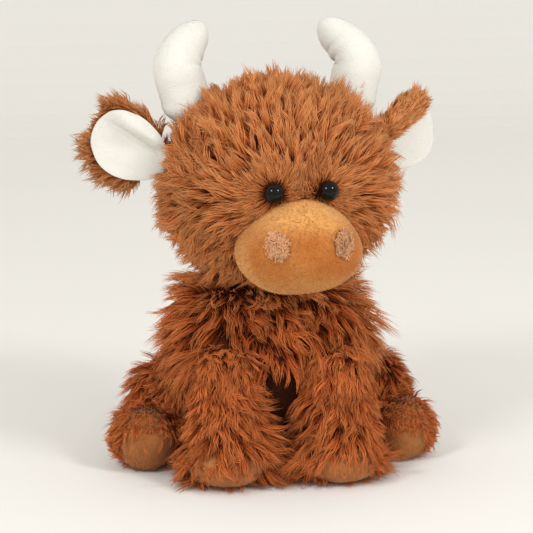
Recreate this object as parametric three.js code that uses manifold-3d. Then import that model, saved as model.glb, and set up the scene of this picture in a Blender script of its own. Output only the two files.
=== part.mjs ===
// Plush cow, sitting, in millimetres. It faces -Y, its left is +X, and it sits on z = 0.
// The origin is the middle of the seat. The fur is solid, up to the mean surface of its pile.
import * as THREE from 'three';
import { mergeVertices } from 'three/addons/utils/BufferGeometryUtils.js';
import Module from 'manifold-3d';

const wasm = await Module();
wasm.setup();

// Fabrics and fits
const furThickness = 9; // backing and pile
const plushThickness = 2.2; // short-pile cloth of the muzzle, horns, ear linings and hooves
const fitGap = 0.3; // between pieces that are sewn or packed together
const swivelGap = 0.4; // between a round root and the hollow that it turns in
const floorPress = 0.5; // how deep a form is pressed flat where it stands
const overrun = 8; // how far a cutter runs past what it cuts

// Body: a barrel that is widest low down
const bodyHeight = 106;
const bodyHalfWidth = 54;
const bodyHalfDepth = 41;
const bodyLean = 10; // how far its top lies forward of its seat
const bodyRounding = 26; // how far from its ends it rounds over
const bodyShares = [0.86, 0.98, 1, 0.98, 0.94, 0.86, 0.74];
const beanBagHalfWidth = 28;
const beanBagHalfHeight = 13;

// Neck: a ball of stuffing that the head turns and nods on
const neckRadius = 16;
const neckSink = 10; // from the body's top down to the middle of the ball
const nodLimit = THREE.MathUtils.degToRad(12);

// Head
const headHalfWidth = 60;
const headHalfDepth = 54;
const headHalfHeight = 55;
const headRise = 47; // from the middle of the neck to the middle of the head
const headForward = 9;
const headTurn = THREE.MathUtils.degToRad(6); // it looks a little to its left

// Muzzle: a bean, narrower at its top
const muzzleHalfWidth = 32;
const muzzleHalfDepth = 28;
const muzzleHalfHeight = 23.5;
const muzzleForward = 42.5; // from the middle of the head
const muzzleDrop = 23;
const muzzleTopShare = 0.3; // how much narrower the top is
const muzzleSquareShare = 0.8; // 1 is a plain ball, less is squarer
const nostrilSpread = 16;
const nostrilRise = 4.5; // above the middle of the muzzle
const nostrilHalfWidth = 6;
const nostrilHalfHeight = 7.5;
const nostrilThickness = 1.2;

// Eyes: glossy domes on a shank, held by a washer behind the backing
const eyeRadius = 5;
const eyeSpread = 14;
const eyeRise = 3.5; // above the middle of the head
const eyeSink = 3.5; // how deep the dome's foot lies in the pile
const shankRadius = 1.7;
const shankReach = 2.5; // past the washer
const washerRadius = 7;
const washerThickness = 1.8;

// Horns
const hornRadius = 12;
const hornRootRadius = 13;
const hornSpread = 42;
const hornBack = 13; // behind the middle of the head
const hornHeight = 36.5;
const hornBulge = 3.5; // how far it leans out before it curves in
const hornTipIn = 12; // how far the tip lies inside the root
const hornTipBack = 17;
const hornBulgeShares = [0, 0.5, 1, 1.1, 0];
const hornInShares = [0, 0, 0, 0.5, 1];
const hornBackShares = [0, 0.08, 0.17, 0.58, 1];
const hornShares = [1, 1, 0.98, 0.9, 0.74, 0.56];
const hornTipRounding = 9;
const seamHoleRadius = 6; // through which a horn is stuffed

// Ears: a furry leaf with a plush lining on its front
const earLength = 35.5;
const earHalfWidth = 18;
const earHalfThickness = 4.6;
const earCup = 5; // how far the edges come forward of the middle
const earTaperShare = 0.12; // how much wider the ear is near its tip
const earRootRadius = 8;
const earRise = 11.5; // above the middle of the head
const earBack = 13; // behind the middle of the head
const earLift = THREE.MathUtils.degToRad(28);
const earSweep = THREE.MathUtils.degToRad(26);
const liningLength = 34;
const liningHalfWidth = 15.5;

// Front legs
const shoulderSpread = 27;
const shoulderHeight = 62;
const frontLegRadius = 20;
const frontFootSpread = 28;
const frontFootForward = 12; // from the shoulder to the middle of the foot
const frontKneeForward = 1.5; // how far the middle of the leg bows forward
const frontLegShares = [0.97, 0.95, 0.97, 1.06, 1.2, 1.22];
const frontHoofHalfWidth = 19;
const frontHoofHalfDepth = 20;
const frontHoofHalfHeight = 11;
const frontLegRounding = 12;

// Hind legs
const hipHeight = 27;
const hipRadius = 20;
const hindFootOut = 14; // from the hip to the end of the foot
const hindFootForward = 30;
const hindKneeOut = 8.5; // how far out the leg has come halfway along
const hindFootRadius = 17;
const hindLegShares = [1, 1, 1, 1];
const hindHoofHalfWidth = 15;
const hindHoofHalfHeight = 16;
const hindHoofHalfDepth = 12;
const hindHoofProud = 4; // how far the hoof stands out of the fur

// Tail
const tailHeight = 38;
const tailRootRadius = 7;
const tailRadius = 5;
const tailBack = 15;
const tailTipHeight = 3;
const tailShares = [1, 0.95, 1, 1.3, 1.6, 1.5];

// How far the limbs press back towards what carries them, and how far a horn tips
const legBackSwing = THREE.MathUtils.degToRad(-4);
const hindInSwing = THREE.MathUtils.degToRad(-4);
const hornSwing = THREE.MathUtils.degToRad(8);
const facetRoom = 2.2; // how much wider a coarse cutter is, so that its flats clear a finer form

// How finely the forms are cut
const coarse = { sides: 8, rings: 5 };
const middling = { sides: 12, rings: 7 };
const fine = { sides: 20, rings: 11 };
const muzzleDetail = { sides: 16, rings: 8 };
const rootDetail = { sides: 14, rings: 5 };
const neckDetail = { sides: 16, rings: 8 };
const hoofDetail = { sides: 10, rings: 6 };
const leafDetail = { sides: 12, rings: 8 };
const limbDetail = { sides: 12, rings: 8 };
const limbInside = { sides: 8, rings: 5 };
const roundSides = 14; // of turned shapes that show
const holeSides = 10; // of holes and of what is hidden

const xAxis = new THREE.Vector3(1, 0, 0);
const yAxis = new THREE.Vector3(0, 1, 0);
const zAxis = new THREE.Vector3(0, 0, 1);
const v = (x, y, z) => new THREE.Vector3(x, y, z);
const sidesOf = [
  ['left', 1],
  ['right', -1],
];

// Colours and finishes
const finish = (color, roughness) => new THREE.MeshStandardMaterial({ color, roughness, metalness: 0 });
const fur = finish('#b4672f', 1);
const furShade = finish('#9c5526', 1);
const muzzlePlush = finish('#d08c4c', 0.9);
const creamPlush = finish('#eee6da', 0.9);
const nostrilThread = finish('#bf8b66', 0.95);
const hoofPlush = finish('#c98a4d', 0.9);
const eyeGloss = finish('#060505', 0.05);
const washerPlastic = finish('#e9e9e6', 0.5);
const fibre = finish('#f4f3ef', 1);
const beanCloth = finish('#d9d6cd', 1);

// Solids

// A closed geometry as a solid, with its faces turned outwards
function solidOf(geometry) {
  const plain = geometry.clone();
  plain.deleteAttribute('normal');
  plain.deleteAttribute('uv');
  const merged = mergeVertices(plain);
  const points = merged.attributes.position.array;
  const index = Array.from(merged.index.array);
  const triangles = [];
  let volume = 0;
  const [a, b, c] = [v(), v(), v()];
  for (let i = 0; i < index.length; i += 3) {
    const [p, q, r] = index.slice(i, i + 3);
    if (p !== q && q !== r && r !== p) {
      triangles.push(p, q, r);
      volume += a.fromArray(points, 3 * p).dot(b.fromArray(points, 3 * q).cross(c.fromArray(points, 3 * r)));
    }
  }
  if (volume < 0) {
    triangles.reverse();
  }
  const vertProperties = new Float32Array(points);
  const triVerts = new Uint32Array(triangles);
  return new wasm.Manifold(new wasm.Mesh({ numProp: 3, vertProperties, triVerts }));
}

// A named mesh of a solid, placed in a group whose origin is its pivot
function piece(group, name, solid, material) {
  const { numProp, vertProperties, triVerts } = solid.getMesh();
  const points = new Float32Array((vertProperties.length / numProp) * 3);
  for (let i = 0; i < points.length / 3; i += 1) {
    points.set(vertProperties.subarray(i * numProp, i * numProp + 3), 3 * i);
  }
  const geometry = new THREE.BufferGeometry();
  geometry.setAttribute('position', new THREE.BufferAttribute(points, 3));
  geometry.setIndex(new THREE.BufferAttribute(new Uint32Array(triVerts), 1));
  const origin = group.getWorldPosition(v());
  geometry.translate(-origin.x, -origin.y, -origin.z);
  geometry.computeVertexNormals();
  const mesh = new THREE.Mesh(geometry, material);
  mesh.name = name;
  group.add(mesh);
}

function groupAt(parent, pivot) {
  const group = new THREE.Group();
  parent.add(group);
  group.position.copy(parent.worldToLocal(pivot.clone()));
  group.updateMatrixWorld(true);
  return group;
}

// A ball with other half sizes along X, Y and Z, drawn in all round by an inset
function roundForm(centre, half, { sides, rings }, inset = 0, turn = 0) {
  const ball = new THREE.SphereGeometry(1, sides, rings);
  ball.rotateX(Math.PI / 2);
  ball.scale(half.x - inset, half.y - inset, half.z - inset);
  ball.rotateZ(turn);
  ball.translate(centre.x, centre.y, centre.z);
  return solidOf(ball);
}

// A limb's round root, with its poles on the axis that it turns about
function rootBall(centre, radius, axis, { sides, rings } = rootDetail) {
  const ball = new THREE.SphereGeometry(radius, sides, rings);
  ball.applyQuaternion(new THREE.Quaternion().setFromUnitVectors(yAxis, axis));
  ball.translate(centre.x, centre.y, centre.z);
  return solidOf(ball);
}

// The hollow that a round root turns in: its flats clear the root's corners
function rootHollow(centre, radius, axis, detail = rootDetail) {
  return rootBall(centre, (radius + swivelGap) / Math.cos(Math.PI / detail.sides), axis, detail);
}

const rootHalf = (radius) => v(radius, radius, radius);

// A share read smoothly from a table that is spread evenly from 0 to 1
function shareAt(shares, place) {
  const last = shares.length - 1;
  const points = shares.map((share, i) => new THREE.Vector2(i / last, share));
  return new THREE.SplineCurve(points).getPoint(THREE.MathUtils.clamp(place, 0, 1)).y;
}

// 0 at an end, rising to 1 as a quarter circle
function roundOver(distance, rounding) {
  const left = Math.max(0, 1 - distance / rounding);
  return Math.sqrt(Math.max(0, 1 - left * left));
}

// A closed form along a spine, which swells and tapers by its shares and rounds over at both ends.
// An inset draws it in all round, but for the near end of a limb, which lies in the limb's root.
function stuffedForm({ spine, halfWidth, halfDepth, shares, across, roundings, detail, limb }, inset = 0) {
  const length = spine.getLength();
  const { sides, rings } = detail;
  const start = limb ? 0 : inset;
  const points = [spine.getPointAt(start / length)];
  for (let ring = 1; ring < rings; ring += 1) {
    const reach = start + ((length - start - inset) * (1 - Math.cos((Math.PI * ring) / rings))) / 2;
    const place = reach / length;
    const middle = spine.getPointAt(place);
    const along = spine.getTangentAt(place);
    const wide = across.clone().addScaledVector(along, -across.dot(along)).normalize();
    const deep = along.clone().cross(wide);
    const near = roundOver(reach - start, Math.max(roundings[0] - inset, fitGap));
    const far = roundOver(length - inset - reach, Math.max(roundings[1] - inset, fitGap));
    const share = shareAt(shares, place);
    for (let side = 0; side < sides; side += 1) {
      const turn = (2 * Math.PI * side) / sides;
      const width = (halfWidth * share - inset) * near * far * Math.cos(turn);
      const depth = (halfDepth * share - inset) * near * far * Math.sin(turn);
      points.push(middle.clone().addScaledVector(wide, width).addScaledVector(deep, depth));
    }
  }
  points.push(spine.getPointAt(1 - inset / length));
  const last = points.length - 1;
  const index = [];
  for (let side = 0; side < sides; side += 1) {
    const next = (side + 1) % sides;
    index.push(0, 1 + next, 1 + side);
    index.push(last, last - sides + side, last - sides + next);
    for (let ring = 0; ring < rings - 2; ring += 1) {
      const here = 1 + ring * sides;
      index.push(here + side, here + next, here + sides + next);
      index.push(here + side, here + sides + next, here + sides + side);
    }
  }
  const geometry = new THREE.BufferGeometry().setFromPoints(points);
  geometry.setIndex(index);
  return solidOf(geometry);
}

// A box below a height, which presses a form flat where it stands
function below(height) {
  const size = 2 * (bodyHeight + headRise + headHalfHeight);
  const box = new THREE.BoxGeometry(size, size, size);
  box.translate(0, 0, height - size / 2);
  return solidOf(box);
}
const table = below(0);

// The same solid turned about an axis through a pivot
function turned(solid, pivot, axis, angle) {
  const { x, y, z } = pivot;
  const matrix = new THREE.Matrix4()
    .makeTranslation(x, y, z)
    .multiply(new THREE.Matrix4().makeRotationAxis(axis, angle))
    .multiply(new THREE.Matrix4().makeTranslation(-x, -y, -z));
  return solid.transform(matrix.toArray());
}

// Body
const bodySpine = new THREE.LineCurve3(v(0, 0, -floorPress), v(0, -bodyLean, bodyHeight));
const bodyShape = {
  spine: bodySpine,
  halfWidth: bodyHalfWidth,
  halfDepth: bodyHalfDepth,
  shares: bodyShares,
  across: xAxis,
  roundings: [bodyRounding, bodyRounding],
  detail: fine,
};
const bodyAt = (height) => {
  const share = shareAt(bodyShares, height / bodyHeight);
  const near = roundOver(height, bodyRounding);
  return share * near * roundOver(bodyHeight - height, bodyRounding);
};
// Where the body's middle, side, front and back lie, at a height and a distance across it
const bodyMiddleAt = (height) => (-bodyLean * height) / bodyHeight;
const bodySideAt = (height) => bodyHalfWidth * bodyAt(height);
const bodyDepthAt = (height, spread) => {
  const across = spread / bodySideAt(height);
  return bodyHalfDepth * bodyAt(height) * Math.sqrt(1 - across * across);
};
const bodyOuter = stuffedForm(bodyShape).subtract(table);
const bodyInner = stuffedForm({ ...bodyShape, detail: middling }, furThickness);
const bodyFill = stuffedForm({ ...bodyShape, detail: middling }, furThickness + fitGap);

// What is left of a ball's radius, at two distances from its middle
const roundLeft = (one, other) => Math.sqrt(1 - one * one - other * other);

// Neck and head
const neckPivot = v(0, bodyMiddleAt(bodyHeight - neckSink), bodyHeight - neckSink);
const headCentre = neckPivot.clone().add(v(0, -headForward, headRise));
const headHalf = v(headHalfWidth, headHalfDepth, headHalfHeight);
const headOuter = roundForm(headCentre, headHalf, fine);
const headInner = roundForm(headCentre, headHalf, middling, furThickness);
const headFill = roundForm(headCentre, headHalf, middling, furThickness + fitGap);
const neckBall = rootBall(neckPivot, neckRadius, zAxis, neckDetail);
const neckHollow = rootHollow(neckPivot, neckRadius, zAxis, neckDetail);

// The space that the head takes up as it nods and turns on the neck
const nodReach = headRise * Math.sin(nodLimit) + headForward;
const nodDrop = headRise * (1 - Math.cos(nodLimit)) + headForward * Math.sin(nodLimit) + swivelGap;
const sweepReach = Math.max(headHalfWidth, headHalfDepth) + nodReach;
const sweepHalf = v(sweepReach, sweepReach, (headHalfHeight + nodDrop) / roundLeft(nodReach / sweepReach, 0));
const headSweep = roundForm(v(0, neckPivot.y, headCentre.z), sweepHalf, fine);

// How far up, out and forward the head's surface lies from its middle
const headTop = (spread, back) => headHalfHeight * roundLeft(spread / headHalfWidth, back / headHalfDepth);
const headSide = (back, rise) => headHalfWidth * roundLeft(back / headHalfDepth, rise / headHalfHeight);
const headFront = (spread, rise) => headHalfDepth * roundLeft(spread / headHalfWidth, rise / headHalfHeight);

// Muzzle
const muzzleCentre = headCentre.clone().add(v(0, -muzzleForward, -muzzleDrop));
function muzzleForm(inset, { sides, rings }) {
  const ball = new THREE.SphereGeometry(1, sides, rings);
  ball.rotateX(Math.PI / 2);
  const place = ball.attributes.position;
  const squarer = (value) => Math.sign(value) * Math.abs(value) ** muzzleSquareShare;
  for (let i = 0; i < place.count; i += 1) {
    const up = place.getZ(i);
    const narrower = 1 - (muzzleTopShare * (1 + up) * (1 + up)) / 4;
    const across = squarer(place.getX(i)) * narrower * (muzzleHalfWidth - inset);
    const front = squarer(place.getY(i)) * (muzzleHalfDepth - inset);
    place.setXYZ(i, across, front, up * (muzzleHalfHeight - inset));
  }
  ball.translate(muzzleCentre.x, muzzleCentre.y, muzzleCentre.z);
  return solidOf(ball);
}
const muzzleOuter = muzzleForm(0, muzzleDetail);
const muzzleRoom = muzzleForm(-fitGap, muzzleDetail);
const muzzleInner = muzzleForm(plushThickness, middling);
const muzzleFill = muzzleForm(plushThickness + fitGap, middling);

const cow = new THREE.Group();
const neck = groupAt(cow, neckPivot);
const head = groupAt(neck, neckPivot);
piece(neck, 'neck_stuffing', neckBall, fibre);

// Holes and hollows that the other pieces leave in the head and in the body
const headCuts = [neckHollow];
const eyeCuts = [];
const bodyCuts = [headSweep, neckHollow];

// A turned shape on an axis, from its foot towards its tip
function turnedShape(outline, foot, towards, sides) {
  const points = outline.map(([radius, reach]) => new THREE.Vector2(radius, reach));
  const lathe = new THREE.LatheGeometry(points, sides);
  lathe.applyQuaternion(new THREE.Quaternion().setFromUnitVectors(yAxis, towards));
  lathe.translate(foot.x, foot.y, foot.z);
  return solidOf(lathe);
}

// Eyes and nostrils
for (const [sideName, side] of sidesOf) {
  const front = headFront(eyeSpread, eyeRise);
  const surface = headCentre.clone().add(v(side * eyeSpread, -front, eyeRise));
  const towards = v(
    (side * eyeSpread) / (headHalfWidth * headHalfWidth),
    -front / (headHalfDepth * headHalfDepth),
    eyeRise / (headHalfHeight * headHalfHeight),
  ).normalize();
  const foot = surface.clone().addScaledVector(towards, -eyeSink);
  const backing = furThickness - eyeSink;
  const shankEnd = -(backing + fitGap + washerThickness + shankReach);
  const dome = [[0, shankEnd], [shankRadius, shankEnd], [shankRadius, 0], [eyeRadius, 0]];
  const domeSteps = 4;
  for (let step = 1; step < domeSteps; step += 1) {
    const turn = (Math.PI * step) / (2 * domeSteps);
    dome.push([eyeRadius * Math.cos(turn), eyeRadius * Math.sin(turn)]);
  }
  dome.push([0, eyeRadius]);
  piece(head, `eye_${sideName}`, turnedShape(dome, foot, towards, roundSides), eyeGloss);

  const washerFront = -(backing + fitGap);
  const washerBack = washerFront - washerThickness;
  const washer = [
    [shankRadius + fitGap, washerBack],
    [washerRadius, washerBack],
    [washerRadius, washerFront],
    [shankRadius + fitGap, washerFront],
    [shankRadius + fitGap, washerBack],
  ];
  piece(head, `eye_washer_${sideName}`, turnedShape(washer, foot, towards, holeSides), washerPlastic);

  // The well that the dome sits in, the hole for its shank, and the pocket behind the backing
  const bore = (radius, from, to, sides) => {
    const outline = [[0, from], [radius, from], [radius, to], [0, to]];
    return turnedShape(outline, foot, towards, sides);
  };
  const holeEnd = shankEnd - fitGap;
  eyeCuts.push(bore(eyeRadius + fitGap, -fitGap, overrun, roundSides));
  eyeCuts.push(bore(shankRadius + fitGap, holeEnd, 0, holeSides));
  eyeCuts.push(bore(washerRadius + fitGap, holeEnd, washerFront + fitGap, holeSides));

  const patchCentre = muzzleCentre.clone().add(v(side * nostrilSpread, 0, nostrilRise));
  const patch = new THREE.CylinderGeometry(1, 1, muzzleHalfDepth + overrun, roundSides);
  patch.scale(nostrilHalfWidth, 1, nostrilHalfHeight);
  patch.translate(patchCentre.x, patchCentre.y - (muzzleHalfDepth + overrun) / 2, patchCentre.z);
  const stitched = muzzleForm(-fitGap - nostrilThickness, muzzleDetail).subtract(muzzleRoom);
  piece(head, `nostril_${sideName}`, stitched.intersect(solidOf(patch)), nostrilThread);
}

// Horns
for (const [sideName, side] of sidesOf) {
  const rise = headTop(hornSpread, hornBack);
  const root = headCentre.clone().add(v(side * hornSpread, hornBack, rise));
  const group = groupAt(head, root);
  const path = hornBackShares.map((backShare, i) => {
    const out = hornBulge * hornBulgeShares[i] - hornTipIn * hornInShares[i];
    const up = (hornHeight * i) / (hornBackShares.length - 1);
    return root.clone().add(v(side * out, hornTipBack * backShare, up));
  });
  const shape = {
    spine: new THREE.CatmullRomCurve3(path),
    halfWidth: hornRadius,
    halfDepth: hornRadius,
    shares: hornShares,
    across: yAxis,
    roundings: [hornTipRounding / 2, hornTipRounding],
    detail: limbDetail,
    limb: true,
  };
  const inside = { ...shape, detail: limbInside };
  const outer = stuffedForm(shape).add(rootBall(root, hornRootRadius, yAxis));
  const insideOf = (inset) => stuffedForm(inside, inset)
    .add(roundForm(root, rootHalf(hornRootRadius), coarse, inset));
  const inner = insideOf(plushThickness);
  const fill = insideOf(plushThickness + fitGap);
  const holeDepth = hornRootRadius + overrun;
  const seamHole = new THREE.CylinderGeometry(seamHoleRadius, seamHoleRadius, holeDepth, holeSides);
  seamHole.rotateX(Math.PI / 2);
  seamHole.translate(root.x, root.y, root.z - holeDepth / 2);
  piece(group, `horn_${sideName}_skin`, outer.subtract(inner).subtract(solidOf(seamHole)), creamPlush);
  piece(group, `horn_${sideName}_stuffing`, fill, fibre);

  // The hollow in the head widens outwards, so that the horn can tip
  const reach = hornRootRadius + overrun;
  const narrow = hornRadius + swivelGap;
  const flare = new THREE.CylinderGeometry(narrow + reach * Math.tan(hornSwing), narrow, reach, roundSides);
  flare.rotateX(Math.PI / 2);
  flare.translate(root.x, root.y, root.z + reach / 2);
  headCuts.push(rootHollow(root, hornRootRadius, yAxis).add(solidOf(flare)));
}

// Ears
function leafForm({ start, length, halfWidth, halfThickness, forward }, place, inset) {
  const leaf = new THREE.SphereGeometry(1, leafDetail.sides, leafDetail.rings);
  leaf.rotateZ(Math.PI / 2);
  const points = leaf.attributes.position;
  for (let i = 0; i < points.count; i += 1) {
    const along = points.getX(i);
    const wide = points.getZ(i);
    const reach = start + length / 2 + along * (length / 2 - inset);
    const across = wide * (1 + earTaperShare * along) * (halfWidth - inset);
    const front = points.getY(i) * (halfThickness - inset) - forward - earCup * wide * wide;
    points.setXYZ(i, reach, front, across);
  }
  leaf.applyMatrix4(place);
  return solidOf(leaf);
}
for (const [sideName, side] of sidesOf) {
  const root = headCentre.clone().add(v(side * headSide(earBack, earRise), earBack, earRise));
  const group = groupAt(head, root);
  const place = new THREE.Matrix4()
    .makeTranslation(root.x, root.y, root.z)
    .multiply(new THREE.Matrix4().makeRotationZ(side * earSweep))
    .multiply(new THREE.Matrix4().makeRotationY(-side * earLift))
    .multiply(new THREE.Matrix4().makeScale(side, 1, 1));
  const leaf = {
    start: fitGap,
    length: earLength,
    halfWidth: earHalfWidth,
    halfThickness: earHalfThickness,
    forward: 0,
  };
  const lining = {
    start: fitGap,
    length: liningLength,
    halfWidth: liningHalfWidth,
    halfThickness: plushThickness,
    forward: earHalfThickness,
  };
  const back = leafForm(leaf, place, 0).add(rootBall(root, earRootRadius, yAxis));
  const room = leafForm(leaf, place, -fitGap).add(rootBall(root, earRootRadius + fitGap, yAxis));
  piece(group, `ear_${sideName}_back`, back, fur);
  piece(group, `ear_${sideName}_lining`, leafForm(lining, place, 0).subtract(room), creamPlush);
  headCuts.push(rootHollow(root, earRootRadius, yAxis));
}

// Front legs
const bodyCutter = stuffedForm({ ...bodyShape, detail: middling }, -facetRoom);
for (const [sideName, side] of sidesOf) {
  const front = bodyMiddleAt(shoulderHeight) - bodyDepthAt(shoulderHeight, shoulderSpread);
  const shoulder = v(side * shoulderSpread, front, shoulderHeight);
  const foot = v(side * frontFootSpread, front - frontFootForward, -floorPress);
  const group = groupAt(cow, shoulder);
  const knee = shoulder.clone().add(foot).divideScalar(2).add(v(0, -frontKneeForward, 0));
  const shape = {
    spine: new THREE.CatmullRomCurve3([shoulder.clone(), knee, foot]),
    halfWidth: frontLegRadius,
    halfDepth: frontLegRadius,
    shares: frontLegShares,
    across: xAxis,
    roundings: [frontLegRounding, frontLegRounding],
    detail: limbDetail,
    limb: true,
  };
  const inside = { ...shape, detail: limbInside };
  const hoofCentre = foot.clone().add(v(0, 0, frontHoofHalfHeight));
  const hoofHalf = v(frontHoofHalfWidth, frontHoofHalfDepth, frontHoofHalfHeight);
  const belly = turned(bodyCutter, shoulder, xAxis, legBackSwing);
  const hollowOf = (inset) => stuffedForm(inside, inset)
    .add(roundForm(hoofCentre, hoofHalf, hoofDetail, inset - furThickness + plushThickness));
  const rootOf = (inset) => roundForm(shoulder, rootHalf(frontLegRadius), coarse, inset);
  const fillOf = (inset) => hollowOf(inset).subtract(belly).add(rootOf(inset));
  const outer = stuffedForm(shape).subtract(belly).add(rootBall(shoulder, frontLegRadius, xAxis));
  const hoof = roundForm(hoofCentre, hoofHalf, hoofDetail);
  const hoofRoom = roundForm(hoofCentre, hoofHalf, hoofDetail, -fitGap);
  const hollow = hollowOf(furThickness);
  const skin = outer.subtract(hollow.add(rootOf(furThickness))).subtract(hoofRoom).subtract(table);
  piece(group, `front_leg_${sideName}_skin`, skin, fur);
  piece(group, `front_leg_${sideName}_stuffing`, fillOf(furThickness + fitGap), fibre);
  piece(group, `front_hoof_${sideName}`, hoof.subtract(hollow).subtract(belly).subtract(table), hoofPlush);
  bodyCuts.push(rootHollow(shoulder, frontLegRadius, xAxis));
}

// Hind legs
for (const [sideName, side] of sidesOf) {
  const hip = v(side * bodySideAt(hipHeight), bodyMiddleAt(hipHeight), hipHeight);
  const group = groupAt(cow, hip);
  const foot = v(hip.x + side * hindFootOut, hip.y - hindFootForward, hindFootRadius - floorPress);
  const knee = v(hip.x + side * hindKneeOut, hip.y - hindFootForward / 2, foot.z);
  const shape = {
    spine: new THREE.CatmullRomCurve3([v(hip.x, hip.y, foot.z), knee, foot]),
    halfWidth: hindFootRadius,
    halfDepth: hindFootRadius,
    shares: hindLegShares,
    across: zAxis,
    roundings: [hindFootRadius, hindFootRadius],
    detail: limbDetail,
    limb: true,
  };
  const inside = { ...shape, detail: limbInside };
  const haunchHalf = v(hipRadius, hipRadius, hipHeight + floorPress);
  const heading = shape.spine.getTangentAt(1);
  const turn = Math.atan2(heading.x, -heading.y);
  const hoofCentre = foot.clone().addScaledVector(heading, hindHoofProud - hindHoofHalfDepth);
  hoofCentre.z = hindHoofHalfHeight - floorPress;
  const hoofHalf = v(hindHoofHalfWidth, hindHoofHalfDepth, hindHoofHalfHeight);
  const belly = turned(bodyCutter, hip, zAxis, -side * hindInSwing);
  const hollowOf = (inset) => stuffedForm(inside, inset)
    .add(roundForm(hoofCentre, hoofHalf, hoofDetail, inset - furThickness + plushThickness, turn));
  const rootOf = (inset) => roundForm(hip, haunchHalf, coarse, inset);
  const fillOf = (inset) => hollowOf(inset).subtract(belly).add(rootOf(inset));
  const outer = stuffedForm(shape).subtract(belly).add(roundForm(hip, haunchHalf, rootDetail));
  const hoof = roundForm(hoofCentre, hoofHalf, hoofDetail, 0, turn);
  const hoofRoom = roundForm(hoofCentre, hoofHalf, hoofDetail, -fitGap, turn);
  const hollow = hollowOf(furThickness);
  const skin = outer.subtract(hollow.add(rootOf(furThickness))).subtract(hoofRoom).subtract(table);
  piece(group, `hind_leg_${sideName}_skin`, skin, fur);
  piece(group, `hind_leg_${sideName}_stuffing`, fillOf(furThickness + fitGap), fibre);
  piece(group, `hind_hoof_${sideName}`, hoof.subtract(hollow).subtract(table), hoofPlush);
  const hipRoom = (hipRadius + swivelGap) / Math.cos(Math.PI / rootDetail.sides) - hipRadius;
  bodyCuts.push(roundForm(hip, haunchHalf, rootDetail, -hipRoom));
}

// Tail
const tailRoot = v(0, bodyMiddleAt(tailHeight) + bodyDepthAt(tailHeight, 0), tailHeight);
const tailGroup = groupAt(cow, tailRoot);
const tailTip = v(0, tailRoot.y + tailBack, tailTipHeight);
const tailBend = v(0, tailRoot.y + tailBack, (tailRoot.z + tailTip.z) / 2);
const tail = stuffedForm({
  spine: new THREE.CatmullRomCurve3([tailRoot.clone(), tailBend, tailTip]),
  halfWidth: tailRadius,
  halfDepth: tailRadius,
  shares: tailShares,
  across: xAxis,
  roundings: [tailRadius, tailRadius],
  detail: coarse,
});
piece(tailGroup, 'tail', tail.add(rootBall(tailRoot, tailRootRadius, yAxis)), fur);
bodyCuts.push(rootHollow(tailRoot, tailRootRadius, yAxis));

// Head and body, with the hollows of everything that is sewn to them
const cutAll = (solid, cuts) => cuts.reduce((left, cut) => left.subtract(cut), solid);
const muzzleCuts = [headInner, ...eyeCuts];
piece(head, 'muzzle_skin', cutAll(muzzleOuter.subtract(muzzleInner), muzzleCuts), muzzlePlush);
piece(head, 'muzzle_stuffing', cutAll(muzzleFill, muzzleCuts), fibre);
piece(head, 'head_skin', cutAll(headOuter.subtract(headInner), [...headCuts, muzzleRoom, ...eyeCuts]), fur);
piece(head, 'head_stuffing', cutAll(headFill, [...headCuts, ...eyeCuts]), fibre);

const beanHalf = v(beanBagHalfWidth, beanBagHalfWidth, beanBagHalfHeight);
const beanCentre = v(0, 0, furThickness + beanBagHalfHeight / 2);
const beanBag = roundForm(beanCentre, beanHalf, middling).intersect(bodyFill);
const beanRoom = roundForm(beanCentre, beanHalf, middling, -fitGap);
piece(cow, 'body_skin', cutAll(bodyOuter.subtract(bodyInner), bodyCuts), furShade);
piece(cow, 'body_stuffing', cutAll(bodyFill.subtract(beanRoom), bodyCuts), fibre);
piece(cow, 'bean_bag', beanBag, beanCloth);

neck.rotation.z = headTurn;
cow.updateMatrixWorld(true);

export default cow;
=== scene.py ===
import math

import bmesh
import bpy
import numpy as np
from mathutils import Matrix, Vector, noise


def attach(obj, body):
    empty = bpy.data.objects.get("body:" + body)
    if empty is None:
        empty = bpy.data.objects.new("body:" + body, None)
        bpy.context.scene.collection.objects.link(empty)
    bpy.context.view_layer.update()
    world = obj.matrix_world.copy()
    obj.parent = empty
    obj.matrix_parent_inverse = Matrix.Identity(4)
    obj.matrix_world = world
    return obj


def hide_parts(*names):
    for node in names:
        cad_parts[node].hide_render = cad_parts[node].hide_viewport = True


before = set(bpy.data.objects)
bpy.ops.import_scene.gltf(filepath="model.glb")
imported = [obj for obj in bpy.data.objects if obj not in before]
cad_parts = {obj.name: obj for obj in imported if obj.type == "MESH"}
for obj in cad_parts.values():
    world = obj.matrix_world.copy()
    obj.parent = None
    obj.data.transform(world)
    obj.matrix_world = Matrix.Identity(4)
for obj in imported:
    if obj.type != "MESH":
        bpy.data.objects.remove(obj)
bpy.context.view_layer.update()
MM = 0.001
# Without a seed, the clock would place the tufts
noise.seed_set(3)

# Camera: a long lens, a little to the toy's right and above it
aim = Vector((-0.0019, -0.005, 0.0965))
azimuth, elevation, distance = math.radians(-8), math.radians(13), 1.2
level = math.cos(elevation)
back = Vector((math.sin(azimuth) * level, -math.cos(azimuth) * level, math.sin(elevation)))
camera = bpy.data.objects.new("camera", bpy.data.cameras.new("camera"))
bpy.context.scene.collection.objects.link(camera)
camera.location = aim + back * distance
camera.rotation_mode = "QUATERNION"
camera.rotation_quaternion = (-back).to_track_quat("-Z", "Y")
camera.data.sensor_width = 36
camera.data.lens = 162.1
camera.data.clip_end = 20
bpy.context.scene.camera = camera


# Materials

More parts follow.
